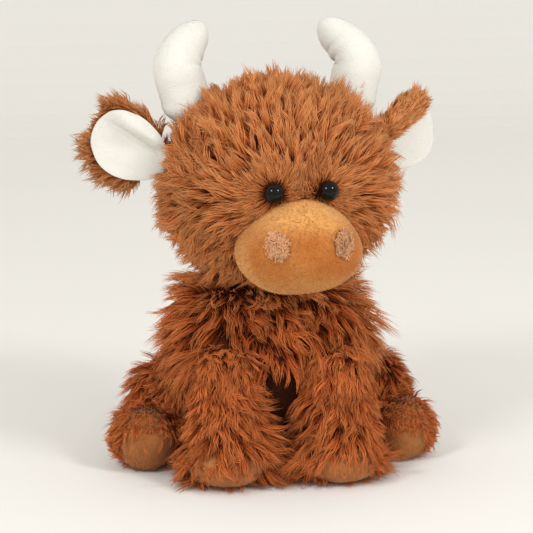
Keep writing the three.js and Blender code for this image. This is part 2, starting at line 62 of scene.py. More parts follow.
class Value:
    """A number or a socket in a node tree, which sums and products can be made of."""

    def __init__(self, tree, socket):
        self.tree, self.socket = tree, socket

    def math(self, operation, *others, clamp=False):
        node = self.tree.nodes.new("ShaderNodeMath")
        node.operation, node.use_clamp = operation, clamp
        for place, value in zip(node.inputs, (self, *others)):
            put(self.tree, place, value)
        return Value(self.tree, node.outputs[0])

    def __add__(self, other):
        return self.math("ADD", other)

    def __mul__(self, other):
        return self.math("MULTIPLY", other)

    def __sub__(self, other):
        return self.math("SUBTRACT", other)

    def __rsub__(self, other):
        return self.math("MULTIPLY", -1) + other

    __radd__ = __add__
    __rmul__ = __mul__

    def clamp(self):
        return self.math("ADD", 0, clamp=True)


def put(tree, place, value):
    """Gives a node's socket a link or a constant."""
    if isinstance(value, Value):
        tree.links.new(value.socket, place)
    elif hasattr(place.default_value, "__len__"):
        place.default_value = (*value, 1)[:len(place.default_value)]
    else:
        place.default_value = value


class Finish:
    """A material with a Principled shader, and the nodes that feed it."""

    def __init__(self, name, roughness, **constants):
        self.made = bpy.data.materials.new(name)
        self.made.use_nodes = True
        self.tree = self.made.node_tree
        self.shader = self.tree.nodes["Principled BSDF"]
        self.shader.inputs["Roughness"].default_value = roughness
        for key, value in constants.items():
            put(self.tree, self.shader.inputs[key.replace("_", " ")], value)

    def node(self, kind, inputs=None, output=0, **settings):
        node = self.tree.nodes.new("ShaderNode" + kind)
        for key, value in settings.items():
            setattr(node, key, value)
        for key, value in (inputs or {}).items():
            put(self.tree, node.inputs[key], value)
        return Value(self.tree, node.outputs[output])

    def read(self, attribute):
        return self.node("Attribute", attribute_name=attribute, output="Fac")

    def noise(self, scale, detail=3):
        place = self.node("TexCoord", output="Object")
        return self.node("TexNoise", {"Vector": place, "Scale": scale, "Detail": detail})

    def mix(self, share, one, other, blend="MIX"):
        """Two colours mixed, for which a Mix node has its inputs 6 and 7 and its output 2."""
        node = self.tree.nodes.new("ShaderNodeMix")
        node.data_type, node.blend_type = "RGBA", blend
        for place, value in ((0, share), (6, one), (7, other)):
            put(self.tree, node.inputs[place], value)
        return Value(self.tree, node.outputs[2])

    def lit(self, colour, light):
        """A colour made lighter or darker by a number."""
        return self.mix(1, colour, self.node("CombineColor", {0: light, 1: light, 2: light}), "MULTIPLY")

    def colour(self, value):
        put(self.tree, self.shader.inputs["Base Color"], value)

    def bump(self, height, depth, strength):
        normal = self.node("Bump", {"Height": height, "Distance": depth, "Strength": strength})
        put(self.tree, self.shader.inputs["Normal"], normal)


def linear(code):
    """The linear colour of a hexadecimal one."""
    parts = [int(code[i:i + 2], 16) / 255 for i in (0, 2, 4)]
    return tuple(c / 12.92 if c < 0.04045 else ((c + 0.055) / 1.055) ** 2.4 for c in parts)


def fur_finish():
    """Long pile: painted shade at the dark root, a painted highlight at the lighter tip, and more painted
    shade where its shade value is low.
    """
    m = Finish("long_pile", 0.75, Specular_IOR_Level=0.2)
    along, tint, shade = (m.read(key) for key in ("along", "tint", "shade"))
    # Painted shade at the dark root, for the gaps between the locks, and a painted highlight at the lighter
    # tip
    base = m.mix((along * 2.2).clamp(), linear("642a11"), linear("c06b32"))
    base = m.mix(((along - 0.4) * 1.7).clamp(), base, linear("da955c"))
    # Painted shade: the colour is deepened where the shade value is low, which is low on the toy
    base = m.mix(1, base, m.mix(shade, (0.95, 0.69, 0.54), (1, 1, 1)), "MULTIPLY")
    m.colour(m.lit(base, 1 + tint * 0.22 + (m.noise(34, 2) - 0.5) * 0.55))
    return m.made


def plain_finish(name, roughness, scale, detail, dark, light, bump=None, **constants):
    """One colour that changes a little from place to place, with a bump's depth and strength or none."""
    m = Finish(name, roughness, **constants)
    waves = m.noise(scale, detail)
    m.colour(m.mix(waves, linear(dark), linear(light)))
    if bump:
        m.bump(waves, *bump)
    return m.made


def pile_finish(name, dark, light, tip, scale, patchy=0.9, sheen=0.25, varied=0.08):
    """Short velvety pile, from dark to light by its shade value, with patches of painted sheen as of pile
    that lies a little differently from place to place.
    """
    m = Finish(name, 0.85, Specular_IOR_Level=0.15, Sheen_Weight=sheen, Sheen_Roughness=0.45)
    along, tint, shade = (m.read(key) for key in ("along", "tint", "shade"))
    base = m.mix((shade + (m.noise(scale, 3) - 0.5) * patchy).clamp(), linear(dark), linear(light))
    base = m.mix((along * 0.45).clamp(), base, linear(tip))
    m.colour(m.lit(base, 1 + tint * varied))
    m.bump(m.noise(1400, 2), 0.0003, 1)
    return m.made


fur = fur_finish()
# The backing is painted dark, as the shade in the gaps between the locks
painted_shade_backing = plain_finish("under_fur_painted_shade", 0.95, 900, 2, "2a1108", "4a2411", (0.0006, 1), Specular_IOR_Level=0.1)
# The muzzle's dark and light colours, between which its painted light and painted sheen are mixed
tan = pile_finish("tan_pile", "b5601d", "e0a05a", "e8ac6a", 48, 1.1, sheen=0.15, varied=0.3)
sole = pile_finish("sole_pile", "864722", "c98248", "d89a62", 48, 1.1)
cream = pile_finish("cream_pile", "dcd9cf", "e8e6dd", "eeede5", 90, 0.6, sheen=0.05)
taupe = pile_finish("taupe_pile", "94542c", "d6986a", "f4c89e", 320, sheen=0.05, varied=0.3)
gloss = plain_finish("eye_gloss", 0.03, 220, 2, "030303", "0e0b0a", Specular_IOR_Level=0.22)
washer = plain_finish("washer_plastic", 0.45, 160, 3, "dcdcd8", "eeeeea", (0.0002, 0.4))


# Forms, in millimetres until they become meshes

# How far apart tufts are, and the heights below which hair, pile, cloth and soles don't reach
tuft_size = 8.5
hair_floor, pile_floor, cloth_floor, sole_floor = 0.6, 0.35, 0.1, 0.15
# A step that spreads many values evenly, and the face at a blade's root
golden = 0.618
root_face = [2, 1, 0]


def unit(a):
    """Vectors made one long."""
    return a / np.maximum(np.linalg.norm(a, axis=-1, keepdims=True), 1e-9)


def smooth(value, low, high):
    """0 below low, 1 above high, and an even change between."""
    t = np.clip((value - low) / (high - low), 0, 1)
    return t * t * (3 - 2 * t)


def object_of(name, mesh, material):
    """A mesh as an object of the scene."""
    mesh.materials.append(material)
    made = bpy.data.objects.new(name, mesh)
    bpy.context.scene.collection.objects.link(made)
    return made


def finished(name, form, material, rounded=True):
    """The object of a bmesh, whose faces look rounded or flat."""
    for face in form.faces:
        face.smooth = rounded
    mesh = bpy.data.meshes.new(name)
    form.to_mesh(mesh)
    form.free()
    return object_of(name, mesh, material)


def formed(name, material, shape, sides=48, rings=32, place=None, keep=None):
    """A smooth closed form: a ball whose points shape, and then place, move. Keep leaves part of it."""
    form = bmesh.new()
    bmesh.ops.create_uvsphere(form, u_segments=sides, v_segments=rings, radius=1)
    points = shape(np.array([vert.co[:] for vert in form.verts]))
    kept = keep(points) if keep else np.ones(len(points), bool)
    points = place(points) if place else points
    for vert, point in zip(form.verts, points * MM):
        vert.co = point
    if form.calc_volume(signed=True) < 0:
        bmesh.ops.reverse_faces(form, faces=form.faces)
    spare = [vert for vert, stays in zip(form.verts, kept) if not stays]
    bmesh.ops.delete(form, geom=spare, context="VERTS")
    return finished(name, form, material)


def ball(centre, half):
    """The shape of a ball with its own half width, depth and height."""
    return lambda spot: spot * np.array(half) + np.array(centre)


def on_floor(shape, low):
    """The same shape, pressed flat where it would go lower."""
    def pressed(spot):
        points = shape(spot)
        points[:, 2] = np.maximum(points[:, 2], low)
        return points
    return pressed


def spine(path):
    """Evenly spaced points on a smooth curve through a few, and its length."""
    path = np.array(path, float)
    ends = np.vstack([2 * path[0] - path[1], path, 2 * path[-1] - path[-2]])
    t = np.linspace(0, len(path) - 1, 60 * (len(path) - 1) + 1)
    first = np.minimum(t.astype(int), len(path) - 2)
    f = (t - first)[:, None]
    p0, p1, p2, p3 = (ends[first + j] for j in range(4))
    cubic = 3 * p1 - p0 - 3 * p2 + p3
    curve = p1 + 0.5 * f * (p2 - p0 + f * (2 * p0 - 5 * p1 + 4 * p2 - p3 + f * cubic))
    reach = np.concatenate([[0], np.cumsum(np.linalg.norm(np.diff(curve, axis=0), axis=1))])
    even = np.linspace(0, reach[-1], 300)
    return np.stack([np.interp(even, reach, curve[:, i]) for i in range(3)], 1), reach[-1]


def read(row, share):
    """Reads a row of points at shares of its length."""
    at = np.linspace(0, 1, len(row))
    return np.stack([np.interp(share, at, row[:, i]) for i in range(row.shape[1])], 1)


def stuffed(path, half, shares, across, roundings, inset=0, limb=False, dents=()):
    """A shape along a spine that swells and tapers by its shares and rounds over at its ends.

    A limb keeps its full length at its root, where an inset would shorten it. A dent has its share of
    the length, its turn round the spine, its depth, and how far it reaches each way.
    """
    row, length = spine(path)
    ways = unit(np.gradient(row, axis=0))
    start = 0 if limb else inset

    def over(reach, rounding):
        """How wide a rounded end still is at a distance from its tip."""
        return np.sqrt(np.maximum(0, 1 - np.maximum(0, 1 - reach / max(rounding, 0.3)) ** 2))

    def shape(spot):
        reach = start + (length - start - inset) * (1 + spot[:, 2]) / 2
        middle, along = read(row, reach / length), unit(read(ways, reach / length))
        wide = unit(np.array(across) - along * (along @ np.array(across))[:, None])
        deep = np.cross(along, wide)
        size = over(reach - start, roundings[0] - inset) * over(length - inset - reach, roundings[1] - inset)
        share = np.interp(reach / length, np.linspace(0, 1, len(shares)), shares)
        turn = np.arctan2(spot[:, 1], spot[:, 0])
        sunk = 0
        for at, angle, depth, long, broad in dents:
            off = (turn - angle + np.pi) % (2 * np.pi) - np.pi
            sunk = sunk + depth * np.exp(-((reach / length - at) / long) ** 2 - (off / broad) ** 2)
        w, d = (((h * share - inset) * size - sunk * size)[:, None] for h in half)
        return middle + w * np.cos(turn)[:, None] * wide + d * np.sin(turn)[:, None] * deep
    return shape


def corners_of(made):
    """A mesh's points in millimetres, its normals and its triangles.

    The triangles are put in a fixed order and the normals are worked out here, because the order of
    a ball's faces and the last digits of Blender's own normals differ from run to run, and would
    change what every random draw that follows gives.
    """
    points, faces = np.empty(3 * len(made.data.vertices)), []
    made.data.vertices.foreach_get("co", points)
    for face in made.data.polygons:
        around = list(face.vertices)
        first = around.index(min(around))
        faces.append(around[first:] + around[:first])
    faces.sort()
    triangles = np.array([(f[0], f[i], f[i + 1]) for f in faces for i in range(1, len(f) - 1)])
    points = points.reshape(-1, 3) / MM
    a, b, c = (points[triangles[:, i]] for i in range(3))
    across = np.repeat(np.cross(b - a, c - a), 3, axis=0)
    normals = [np.bincount(triangles.ravel(), across[:, i], len(points)) for i in range(3)]
    return points, unit(np.stack(normals, 1)), triangles


def scatter(made, count, keep=None):
    """Points spread over a form, with their normals, where keep says so."""
    points, normals, triangles = corners_of(made)
    a, b, c = (points[triangles[:, i]] for i in range(3))
    area = np.linalg.norm(np.cross(b - a, c - a), axis=1)
    pick = rng.choice(len(triangles), count, p=area / area.sum())
    u, w = rng.random((2, count, 1))
    over = (u + w) > 1
    u, w = np.where(over, 1 - u, u), np.where(over, 1 - w, w)
    spots = a[pick] * (1 - u - w) + b[pick] * u + c[pick] * w
    t = triangles[pick]
    ways = unit(normals[t[:, 0]] * (1 - u - w) + normals[t[:, 1]] * u + normals[t[:, 2]] * w)
    if keep is not None:
        left = keep(spots, ways)
        spots, ways = spots[left], ways[left]
    return spots, ways


def uneven(made, size, depth, seed=0):
    """Gives a form the soft unevenness of stuffed cloth, above the floor."""
    points, normals, _ = corners_of(made)
    waves = np.array([noise.noise(Vector(p / size + seed)) for p in points])
    points = points + normals * depth * waves[:, None]
    points[:, 2] = np.maximum(points[:, 2], cloth_floor)
    made.data.vertices.foreach_set("co", (points * MM).ravel())
    made.data.update()


def fit(made, body, slot, *nodes, fill=None):
    """Hangs a piece on the body it rides on and hides the model's parts that it stands for; slot, its finish,
    and fill, how full it is, are not used.
    """
    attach(made, body)
    if nodes:
        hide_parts(*nodes)


def hold(made, along, shade, tint=0):
    """Keeps on a mesh the values that its finish reads."""
    count = len(made.data.vertices)
    for key, value in (("along", along), ("tint", tint), ("shade", shade)):
        row = np.broadcast_to(np.asarray(value, np.float32).ravel(), count)
        kept = made.data.attributes.new(key, "FLOAT", "POINT")
        kept.data.foreach_set("value", np.ascontiguousarray(row))


def blade_faces(rings):
    """The faces of one blade by its own points: quads between its rings, and triangles at its ends."""
    tip, last = 3 * (rings - 1), 3 * (rings - 2)
    quads = [[3 * j + k, 3 * j + (k + 1) % 3, 3 * j + 3 + (k + 1) % 3, 3 * j + 3 + k]
             for j in range(rings - 2) for k in range(3)]
    tris = [[last + k, last + (k + 1) % 3, tip] for k in range(3)] + [root_face]
    return [np.array(faces) for faces in (quads, tris) if faces]


def spots_in_cell(faces, rings):
    """Where the corners of a blade's faces lie in the blade's cell, its three sides side by side."""
    spots = np.zeros((*faces.shape, 2))
    tip = 3 * (rings - 1)
    for i, face in enumerate(faces):
        first = face[0] % 3
        for j, corner in enumerate(face):
            turn = 0.5 if corner == tip else (corner - first) % 3
            level = 1 if corner == tip else corner // 3 / (rings - 1)
            spots[i, j] = [(first + min(turn, 1)) / 3, 0.05 + 0.95 * level]
        if list(face) == root_face:
            spots[i] = [[0.9, 0.02], [0.5, 0], [0.1, 0.02]]
    return spots


def own_map(mesh, count, faces, rings):
    """Gives each blade a cell of its own in a new map, OFBake."""
    columns = math.ceil(math.sqrt(count))
    blade = np.arange(count)
    corner = np.stack([blade % columns, blade // columns], 1) / columns
    layer = mesh.uv_layers.new(name="OFBake")
    cells = []
    for each in faces:
        spots = (spots_in_cell(each, rings)[None] * 0.88 + 0.06) / columns
        cells.append((corner[:, None, None] + spots).reshape(-1, 2))
    layer.data.foreach_set("uv", np.concatenate(cells).ravel().astype(np.float32))


def array_mesh(name, points, faces, normals):
    """A smooth mesh from arrays of points, of faces with their corners, and of the points' normals."""
    mesh = bpy.data.meshes.new(name)
    sizes = np.concatenate([np.full(len(each), each.shape[1]) for each in faces])
    corners = np.concatenate([each.ravel() for each in faces])
    mesh.vertices.add(len(points))
    mesh.vertices.foreach_set("co", (points * MM).ravel())
    mesh.loops.add(len(corners))
    mesh.loops.foreach_set("vertex_index", corners.astype(np.int32))
    mesh.polygons.add(len(sizes))
    mesh.polygons.foreach_set("loop_start", (np.cumsum(sizes) - sizes).astype(np.int32))
    mesh.polygons.foreach_set("use_smooth", np.ones(len(sizes), bool))
    mesh.update(calc_edges=True)
    mesh.normals_split_custom_set_from_vertices(normals.tolist())
    return mesh


def blades(name, body, slot, curves, surface, width, material, tint, shade, soft, floor, reach):
    """Closed three-sided blades along curves (blade, ring, 3), each drawn to a point.

    There are far too many for mesh operators, so their points come from arrays. Soft is the share by
    which the normals lean towards those of the surface below; where it is low, they are the blades'
    own all round. Reach is how far along a full-length hair, for its colour, the root and the tip lie.
    """
    count, rings = curves.shape[:2]
    # Hair that would pass the floor is laid on it, within a layer of one millimetre
    low = np.broadcast_to(floor, count) + (golden * np.arange(count)) % 1
    curves = curves.copy()
    curves[:, :, 2] = np.maximum(curves[:, :, 2], low[:, None])
    tangent = unit(np.gradient(curves, axis=1))
    side = unit(np.cross(tangent, surface[:, None]))
    top = np.cross(side, tangent)
    w, s, u, middle = width[:, :-1, None], side[:, :-1], top[:, :-1], curves[:, :-1]
    ring = np.stack([middle - s * w / 2, middle + u * w * 0.42, middle + s * w / 2], 2)
    points = np.concatenate([ring.reshape(count, -1, 3), curves[:, -1:]], 1)
    leaning = soft > 0.3
    rise = u * (0.5 if leaning else -0.5)
    ways = np.stack([unit(rise - s), u, unit(rise + s)], 2).reshape(count, -1, 3)
    ways = np.concatenate([ways, (top if leaning else tangent)[:, -1:]], 1)
    ways = unit(ways * (1 - soft) + surface[:, None] * soft)
    per = 3 * (rings - 1) + 1
    faces = blade_faces(rings)
    step = (np.arange(count) * per)[:, None, None]
    lists = [(each[None] + step).reshape(-1, each.shape[1]) for each in faces]
    mesh = array_mesh(name, points.reshape(-1, 3), lists, ways.reshape(-1, 3))
    own_map(mesh, count, faces, rings)
    made = object_of(name, mesh, material)
    level = np.append(np.repeat(np.arange(rings - 1), 3), rings - 1) / (rings - 1)
    start, end = (np.broadcast_to(far, count)[:, None] for far in reach)
    shade = np.repeat(np.broadcast_to(shade, count), per)
    hold(made, start + (end - start) * level, shade, np.repeat(tint, per))
    fit(made, body, slot)


def locks(name, body, roots, normals, flow, length=14, lift=(55, 15), spread=2.2, strands=7, width=0.58,
          rings=4, clump=0.58, curl=26, wave=1.1, stray=0.09, drop=0.25, sink=1, floor=hair_floor,
          slot="fur", material=fur, soft=0.3, shade=1, wild=1, reach=(0, 1)):
    """Long pile in locks: strands that start apart and come together along one wavy curve.

    Neighbouring locks go together in tufts, which differ in length, lift, heading and colour. Wild
    is how much the locks and tufts stray, which may differ from root to root.
    """
    count, steps = len(roots), 10
    wild = np.broadcast_to(np.asarray(wild, float), count)
    tuft = np.array([noise.noise_vector(Vector(p / tuft_size)) for p in roots]) * wild[:, None]
    length = np.broadcast_to(np.asarray(length, float), count) * rng.uniform(0.8, 1.16, count)
    length = length * (1 + 0.45 * tuft[:, 0])
    lifts = [np.asarray(a, float) + rng.normal(0, 8, count) + 26 * tuft[:, 1] for a in lift]
    first, final = (np.radians(a) for a in lifts)
    flow = unit(flow - normals * (flow * normals).sum(1, keepdims=True))
    cross = np.cross(normals, flow)
    bend = np.radians(rng.normal(0, curl, count)) * wild
    twist = np.radians(rng.normal(0, curl * 0.5, count)) * wild + 1.1 * tuft[:, 2]
    phase, cycles = rng.uniform(0, 2 * np.pi, count), rng.uniform(0.6, 1.3, count)

    # The middle of each lock, step by step, and then at its rings
    place, curve = np.zeros((count, 3)), [np.zeros((count, 3))]
    for i in range(steps):
        t = (i + 0.5) / steps
        turn = (twist + bend * t + wild * wave * 0.5 * np.cos(phase + 2 * np.pi * cycles * t))[:, None]
        up = (first + (final - first) * t)[:, None]
        way = (flow * np.cos(turn) + cross * np.sin(turn)) * np.cos(up) + normals * np.sin(up)
        way[:, 2] -= drop * t
        place = place + unit(way) * length[:, None] / steps
        curve.append(place)
    curve = np.stack(curve, 1)
    at = np.linspace(0, steps, rings)
    low = np.minimum(at.astype(int), steps - 1)
    part = (at - low)[None, :, None]
    curve = curve[:, low] * (1 - part) + curve[:, low + 1] * part

    # The strands, each from its own place in the lock's root
    n, t = count * strands, np.linspace(0, 1, rings)
    owner = np.repeat(np.arange(count), strands)
    far, turn = spread * np.sqrt(rng.random(n)), rng.uniform(0, 2 * np.pi, n)
    apart = (flow[owner] * np.cos(turn)[:, None] + cross[owner] * np.sin(turn)[:, None]) * far[:, None]
    size = rng.uniform(0.78, 1.05, n)
    loose = unit(rng.normal(size=(n, 3))) * (stray * length[owner] * rng.random(n))[:, None]
    close = clump * rng.uniform(0.6, 1.15, count)[owner][:, None] * t[None] ** 0.8
    paths = roots[owner][:, None] - normals[owner][:, None] * sink + apart[:, None] * (1 - close)[:, :, None]
    paths = paths + curve[owner] * size[:, None, None] + loose[:, None] * (t ** 2)[None, :, None]
    wide = width * rng.uniform(0.75, 1.25, n)[:, None] * (0.8 + 0.45 * t - 0.95 * t ** 2)
    tint = np.clip((rng.normal(0, 0.35, count) + tuft[:, 0])[owner] + rng.normal(0, 0.3, n), -1, 1)
    shade, floor, *reach = (np.broadcast_to(value, count)[owner] for value in (shade, floor, *reach))
    blades(name, body, slot, paths, normals[owner], wide, material, tint, shade, soft, floor, reach)


def short_pile(name, body, slot, made, count, length, width, lean, tilt, material, keep=None,
               floor=pile_floor, shade=0.5, soft=0.85, reach=(0, 1)):
    """Short pile: one tapered blade at each spot, leaning one way with some scatter."""
    spots, ways = scatter(made, count, keep)
    n = len(spots)
    lean = lean(spots) if callable(lean) else np.array(lean, float)
    flat = lean - ways * np.sum(lean * ways, -1, keepdims=True)
    way = unit(ways + tilt * flat + rng.normal(0, 0.2, (n, 3)))
    size = (length * rng.uniform(0.6, 1.15, n))[:, None, None]
    paths = (spots - ways * 0.25)[:, None] + way[:, None] * size * np.array([[0], [1.0]])
    wide = width * rng.uniform(0.7, 1.2, n)[:, None] * np.array([1, 0])
    tint = np.clip(rng.normal(0, 0.6, n), -1, 1)
    shade = shade(spots) if callable(shade) else shade
    blades(name, body, slot, paths, ways, wide, material, tint, shade, soft, floor, reach)


def undercoat(name, body, made, count, flow, keep, shade=1, length=5.5):
    """Short hairs close to the backing, so that none of it shows between the locks, coloured as a hair's dark
    root half: painted shade under the locks.
    """
    short_pile(name, body, "fur", made, count, length, 0.75, lambda p: unit(flow(p)), 1.2, fur, keep,
               hair_floor, shade, 0.6, (0, 0.55))


# The toy's sizes, as its frame has them
neck_pivot = np.array((0, -9.057, 96.0))
head_turn = math.radians(6)
head_half = np.array((60.0, 54.0, 55.0))
head_centre = neck_pivot + (0, -9, 47)
muzzle_centre = head_centre + (0, -42.5, -23)
muzzle_half = np.array((32.0, 28.0, 23.5))
nostril_spread, nostril_rise, nostril_half = 16.0, 4.5, np.array((6.0, 7.5))
eye_spread, eye_rise, eye_radius, eye_sink = 14.0, 3.5, 5.0, 3.5
horn_spread, horn_back, horn_height, horn_radius = 42.0, 13.0, 36.5, 11.8
ear_back, ear_rise = 13.0, 11.5
ear_lift, ear_sweep = math.radians(28), math.radians(26)
ear_length, ear_half, ear_thick, ear_cup = 35.5, 18.0, 4.6, 5.0
lining_length, lining_half = 34.0, 15.5
ear_core_half = ear_half - 2.4
sides_of = (("left", 1), ("right", -1))


def spin(points, angle):
    """Turns points or ways about the upright axis."""
    c, s = math.cos(angle), math.sin(angle)
    x, y = points[..., 0], points[..., 1]
    return np.stack([x * c - y * s, x * s + y * c, points[..., 2]], -1)


def turn_head(points):
    """From the head looking straight on to the head as it is turned."""
    return spin(np.asarray(points, float) - neck_pivot, head_turn) + neck_pivot


def unturn(points):
    """From the head as it is turned back to the head looking straight on."""
    return spin(np.asarray(points, float) - neck_pivot, -head_turn) + neck_pivot


def on_head(x, y):
    """How far a point beside or behind the head's middle lies from it, up to the head's surface."""
    return math.sqrt(1 - x * x - y * y)


# Muzzle
squareness = 0.8


def narrower(up):
    """The muzzle's share of its width at a height, which falls towards its top."""
    return 1 - 0.3 * (1 + up) ** 2 / 4


def squarer(a):
    return np.sign(a) * np.abs(a) ** squareness


def bean(half):
    """The muzzle's shape, a ball that is squarer seen from above and narrower at its top."""
    def shape(spot):
        x, y, up = spot.T
        return np.stack([squarer(x) * narrower(up), squarer(y), up], -1) * half + muzzle_centre
    return shape


def in_muzzle(local, room=0):
    """How far a point lies from the muzzle's surface, as a share of its size: under 1 is inside."""
    q = (local - muzzle_centre) / (muzzle_half + room)
    across = q[..., 0] / narrower(np.clip(q[..., 2], -1, 1))
    x, y = (np.abs(a) ** (1 / squareness) for a in (across, q[..., 1]))
    return np.sqrt(x * x + y * y + q[..., 2] ** 2)


def muzzle_painted_light(points):
    """Darker in a band across the middle, with painted light over the top and a painted sheen round the rim.
    """
    q = (unturn(points) - muzzle_centre) / muzzle_half
    rim = 0.75 * smooth(np.hypot(q[:, 0], q[:, 2]), 0.78, 1)
    top, bottom = smooth(q[:, 2], 0.2, 0.75), 0.5 * smooth(-q[:, 2], 0.35, 0.8)
    return np.clip(0.1 + 0.9 * np.maximum(np.maximum(top, rim), bottom), 0, 1)


def muzzle_lean(points):
    """The pile lies outwards from the middle of the muzzle."""
    away = unturn(points) - (muzzle_centre + (0, -10, 6))
    return spin(unit(away), head_turn) + (0, 0, -0.15)


def outside_head(points, ways):
    """The part of the muzzle that stands out of the head."""
    return (((unturn(points) - head_centre) / (head_half - 6)) ** 2).sum(1) > 1


muzzle = formed("muzzle", tan, bean(muzzle_half - 0.8), 96, 60, turn_head)
uneven(muzzle, 22, 1.0, 3)
# Painted light over the muzzle's top and a painted sheen round its rim
hold(muzzle, 0.3, muzzle_painted_light(corners_of(muzzle)[0]))
fit(muzzle, "head", "muzzle_plush", "muzzle_skin", "muzzle_stuffing", fill=0.9)
# The generator that all draws come from, which the head and the body each set anew
rng = np.random.default_rng(11)
# The pile takes the same painted light and painted sheen
short_pile("muzzle_pile", "head", "muzzle_plush", muzzle, 26000, 1.3, 0.45, muzzle_lean, 1.5, tan,
           outside_head, shade=muzzle_painted_light, soft=0.7)

# Nostrils: patches of curly thread, stitched on the muzzle's front
for name, side in sides_of:
    spot = np.array((side * nostril_spread, nostril_rise))

    def on_patch(points, room=-0.6):
        """The points of the muzzle's front that lie within the patch's outline."""
        q = (points - muzzle_centre)[:, (0, 2)]
        return ((((q - spot) / (nostril_half + room)) ** 2).sum(1) < 1) & (points[:, 1] < muzzle_centre[1])

    patch = formed(f"nostril_{name}_patch", taupe, bean(muzzle_half + 0.5), 200, 120, turn_head, on_patch)
    thick = patch.modifiers.new("thickness", "SOLIDIFY")
    thick.thickness, thick.offset = 1.1 * MM, -1
    # The patch is painted dark under its pale threads, as painted shade in the gaps between them
    hold(patch, 0, 0.1)
    fit(patch, "head", "nostril_thread", f"nostril_{name}")
    p, n = scatter(patch, 330, lambda p, n: on_patch(unturn(p), -0.9))
    locks(f"nostril_{name}_thread", "head", p, n, rng.normal(size=p.shape), 2.7, (55, -35), 0.7, 2, 0.46,
          rings=6, clump=0.2, curl=80, wave=2.6, stray=0.1, drop=0, sink=0.2, slot="nostril_thread",
          material=taupe, soft=0.2, shade=0.95)

# Eyes: glossy domes on a shank, turned on an axis
eye_foot = []
for name, side in sides_of:
    front = head_half[1] * on_head(eye_spread / head_half[0], eye_rise / head_half[2])
    surface = np.array((side * eye_spread, -front, eye_rise))
    way = unit(surface / head_half ** 2)
    foot = head_centre + surface - way * eye_sink
    eye_foot.append(foot)
    angles = np.linspace(0, np.pi / 2, 20)
    outline = [(0, -14.0), (1.7, -14.0), (1.7, -0.2), (4.4, -0.2), (5.0, 0.1)]
    outline += [(eye_radius * math.cos(a), eye_radius * math.sin(a) + 0.1) for a in angles[1:-1]]
    outline += [(0, eye_radius + 0.1)]
    one = unit(np.cross(way, (0, 0, 1.0)))
    form = bmesh.new()
    spots = [turn_head(foot + way * reach + one * radius) * MM for radius, reach in outline]
    verts = [form.verts.new(spot) for spot in spots]
    edges = [form.edges.new(pair) for pair in zip(verts, verts[1:])]
    bmesh.ops.spin(form, geom=verts + edges, cent=turn_head(foot) * MM, axis=spin(way, head_turn),
                   angle=2 * math.pi, steps=48, use_merge=True)
    bmesh.ops.remove_doubles(form, verts=form.verts, dist=1e-6)
    bmesh.ops.recalc_face_normals(form, faces=form.faces)
    fit(finished(f"eye_{name}_dome", form, gloss), "head", "eye_gloss", f"eye_{name}")

# Head: the backing, and its fur
backing_half = head_half - (6.3, 6.3, 8.5)
head_core = formed("head_backing", painted_shade_backing, ball(head_centre - (0, 0, 1.2), backing_half), 64, 40, turn_head)
uneven(head_core, 30, 1.6, 7)
fit(head_core, "head", "fur", "head_skin", "head_stuffing", fill=0.9)
face = unit(np.array((0, -1, -0.30)))
horn_rise = head_half[2] * on_head(horn_spread / head_half[0], horn_back / head_half[1])
horn_roots = [head_centre + (side * horn_spread, horn_back, horn_rise) for _, side in sides_of]
ear_side = head_half[0] * on_head(ear_back / head_half[1], ear_rise / head_half[2])
ear_roots = {side: head_centre + (side * ear_side, ear_back, ear_rise) for _, side in sides_of}


def near_eye(q):
    """How far points of the unturned head lie from the nearer eye."""
    return np.min([np.linalg.norm(q - foot, axis=1) for foot in eye_foot], axis=0)


def head_keep(p, n):
    """No fur grows under the muzzle, the eyes and the horns, or on the neck."""
    q = unturn(p)
    out = (in_muzzle(q, -2.5) > 1) & (near_eye(q) > 5.9)
    for root in ear_roots.values():
        out &= np.linalg.norm(q - root - (0, -6, -4), axis=1) > 8
    for root in horn_roots:
        out &= (np.linalg.norm((q - root)[:, :2], axis=1) > 9.5) | (q[:, 2] < root[2] - 5)
    return out & (q[:, 2] > head_centre[2] - 49)


def head_flow(p):
    """Outwards from the face and up over the crown, with the cheeks drooping, and down at the back."""
    q = unturn(p) - head_centre
    direct = unit(q)
    behind = smooth(direct[:, 1:2], 0.15, 0.6)
    way = unit(direct - face) * (1 - 0.8 * behind)
    way[:, 2] -= 0.5 * smooth(-direct[:, 2], -0.3, 0.25) + 1.1 * behind[:, 0]
    way[:, 2] += 0.5 * smooth(direct[:, 2], 0.1, 0.4) * (1 - behind[:, 0])
    wave = np.sin(q[:, 2] / 8 + q[:, 0] / 13) + np.sin(q[:, 1] / 9 - q[:, 2] / 15 + 2)
    way += unit(np.cross(direct, way)) * (0.17 * wave)[:, None]
    for foot in eye_foot:
        apart = q + head_centre - foot
        way += 2.2 * np.exp(-(np.linalg.norm(apart, axis=1, keepdims=True) / 10) ** 2) * unit(apart)
    return spin(way, head_turn)


def head_length(p):
    """The locks are shorter near the eyes, round the muzzle and on the crown."""
    q = unturn(p)
    size = 15.5 * np.clip(0.5 + (near_eye(q) - 8) / 24, 0.5, 1)
    size *= np.clip(0.55 + (in_muzzle(q + unit(q - head_centre) * 4) - 1) * 1.3, 0.55, 1)
    return size * (1 - 0.2 * smooth(unit(q - head_centre)[:, 2], 0.55, 0.9))


def head_lift(p):
    """How steeply the locks stand at their roots and tips: more on the crown and near the eyes."""
    q = unturn(p)
    direct = unit(q - head_centre)
    top = smooth(direct[:, 2], 0.25, 0.85) * (1 - 0.6 * smooth(direct[:, 1], 0.2, 0.8))
    close = 1 - smooth(near_eye(q), 6, 13)
    return 42 + 26 * top + 18 * close, 14 + 38 * top + 14 * close


